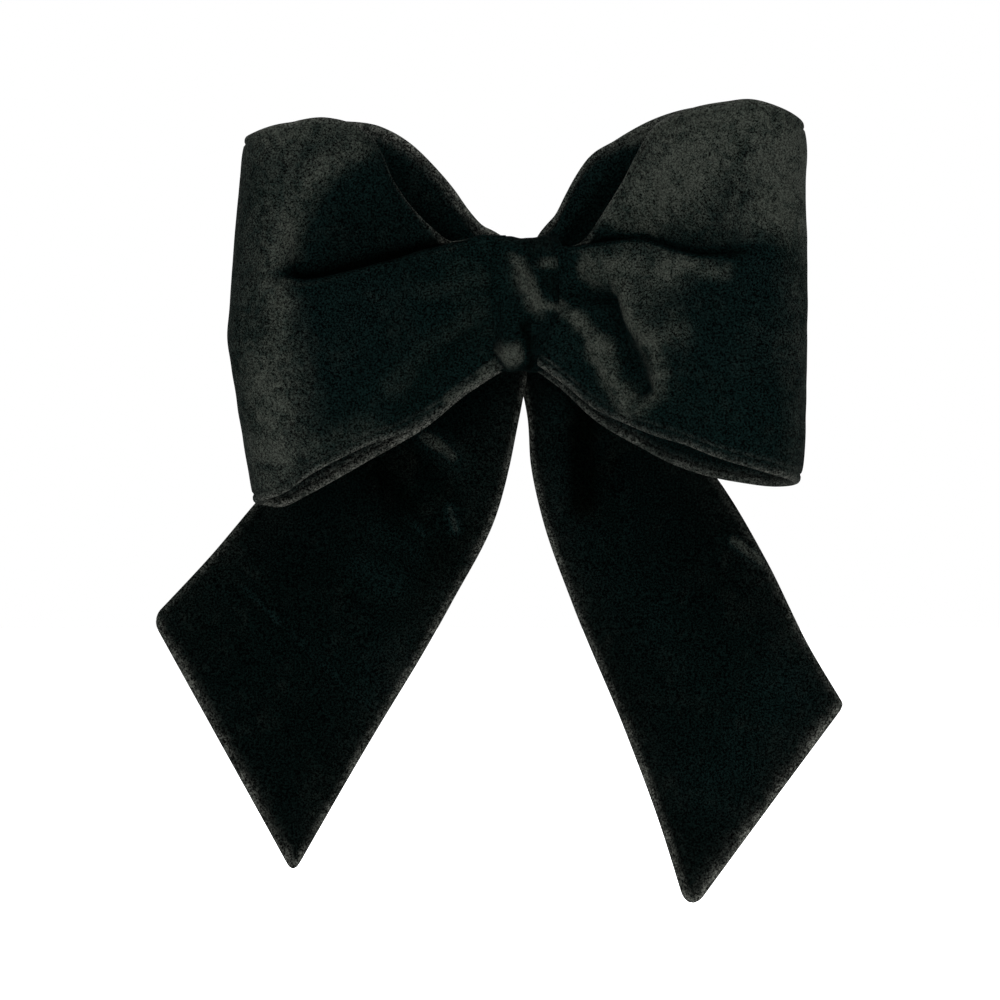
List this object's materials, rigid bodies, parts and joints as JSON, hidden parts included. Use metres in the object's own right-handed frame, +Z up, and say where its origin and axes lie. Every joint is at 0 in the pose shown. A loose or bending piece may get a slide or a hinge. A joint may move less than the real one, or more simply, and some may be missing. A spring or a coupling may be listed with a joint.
{
  "type": "velvet hair bow",
  "caption": "Soft double-loop bow with a wrapped knot and two slanted tails, held on a long spring barrette that clips over a lock of hair.",
  "frame": {"origin": "centre of the knot seen from the front, on the front face of the barrette's base plate, midway between its two sewing holes", "axes": "-Y is the front of the bow, +Y points to the wearer's head, +Z is up and +X is the right-hand side seen from the front"},
  "size_m": [0.1586, 0.0493, 0.1842],
  "materials": {
    "crushed_velvet": "black crushed velvet, short soft pile",
    "stiffener": "thin black non-woven stiffener",
    "thread": "black polyester sewing thread",
    "clip_steel": "nickel-plated spring steel",
    "pin_steel": "bright plated steel"
  },
  "bodies": {
    "knot_and_base": {"knot_wrap": "crushed_velvet", "knot_stitches": "thread", "loop_waist": "crushed_velvet", "cinch_thread": "thread", "tail_fold": "crushed_velvet", "clip_base": "clip_steel", "hinge_pin": "pin_steel", "catch_foot": "clip_steel", "catch_rivet": "pin_steel"},
    "left_loop": {"left_loop_outer_velvet": "crushed_velvet", "left_loop_stiffener": "stiffener", "left_loop_lining_velvet": "crushed_velvet"},
    "right_loop": {"right_loop_outer_velvet": "crushed_velvet", "right_loop_stiffener": "stiffener", "right_loop_lining_velvet": "crushed_velvet"},
    "left_tail": {"left_tail_front_velvet": "crushed_velvet", "left_tail_back_velvet": "crushed_velvet"},
    "right_tail": {"right_tail_front_velvet": "crushed_velvet", "right_tail_back_velvet": "crushed_velvet"},
    "arm": {"clip_arm": "clip_steel"},
    "spring_bar": {"tension_bar": "clip_steel"},
    "upper_prong": {"catch_prong_upper": "clip_steel"},
    "lower_prong": {"catch_prong_lower": "clip_steel"}
  },
  "joints": [
    {"name": "left_loop_sway", "type": "hinge", "parent": "knot_and_base", "child": "left_loop", "pos_m": [-0.0153, -0.014, 0], "axis": [0, 0, 1], "range_deg": [0, 15], "stiffness_Nm_per_rad": 0.05},
    {"name": "right_loop_sway", "type": "hinge", "parent": "knot_and_base", "child": "right_loop", "pos_m": [0.0153, -0.014, 0], "axis": [0, 0, -1], "range_deg": [0, 15], "stiffness_Nm_per_rad": 0.05},
    {"name": "left_tail_swing", "type": "hinge", "parent": "knot_and_base", "child": "left_tail", "pos_m": [0, -0.0055, 0], "axis": [0, 1, 0], "range_deg": [-3, 15], "stiffness_Nm_per_rad": 0.1},
    {"name": "right_tail_swing", "type": "hinge", "parent": "knot_and_base", "child": "right_tail", "pos_m": [0, -0.0025, 0], "axis": [0, -1, 0], "range_deg": [-3, 15], "stiffness_Nm_per_rad": 0.1},
    {"name": "arm_hinge", "type": "hinge", "parent": "knot_and_base", "child": "arm", "pos_m": [-0.031, 0.0042, 0], "axis": [0, 0, 1], "range_deg": [0, 75]},
    {"name": "tension_bar_spring", "type": "hinge", "parent": "knot_and_base", "child": "spring_bar", "pos_m": [-0.031, 0.0042, 0], "axis": [0, 0, 1], "range_deg": [0, 5]},
    {"name": "upper_prong_squeeze", "type": "hinge", "parent": "knot_and_base", "child": "upper_prong", "pos_m": [0.0328, 0.0012, 0.0033], "axis": [-1, 0, 0], "range_deg": [0, 6], "stiffness_Nm_per_rad": 0.01},
    {"name": "lower_prong_squeeze", "type": "hinge", "parent": "knot_and_base", "child": "lower_prong", "pos_m": [0.0328, 0.0012, -0.0033], "axis": [1, 0, 0], "range_deg": [0, 6], "stiffness_Nm_per_rad": 0.01}
  ],
  "couplings": [
    {"joint": "tension_bar_spring", "follows": "arm_hinge", "ratio": 0.0666},
    {"joint": "lower_prong_squeeze", "follows": "upper_prong_squeeze", "ratio": 1}
  ]
}
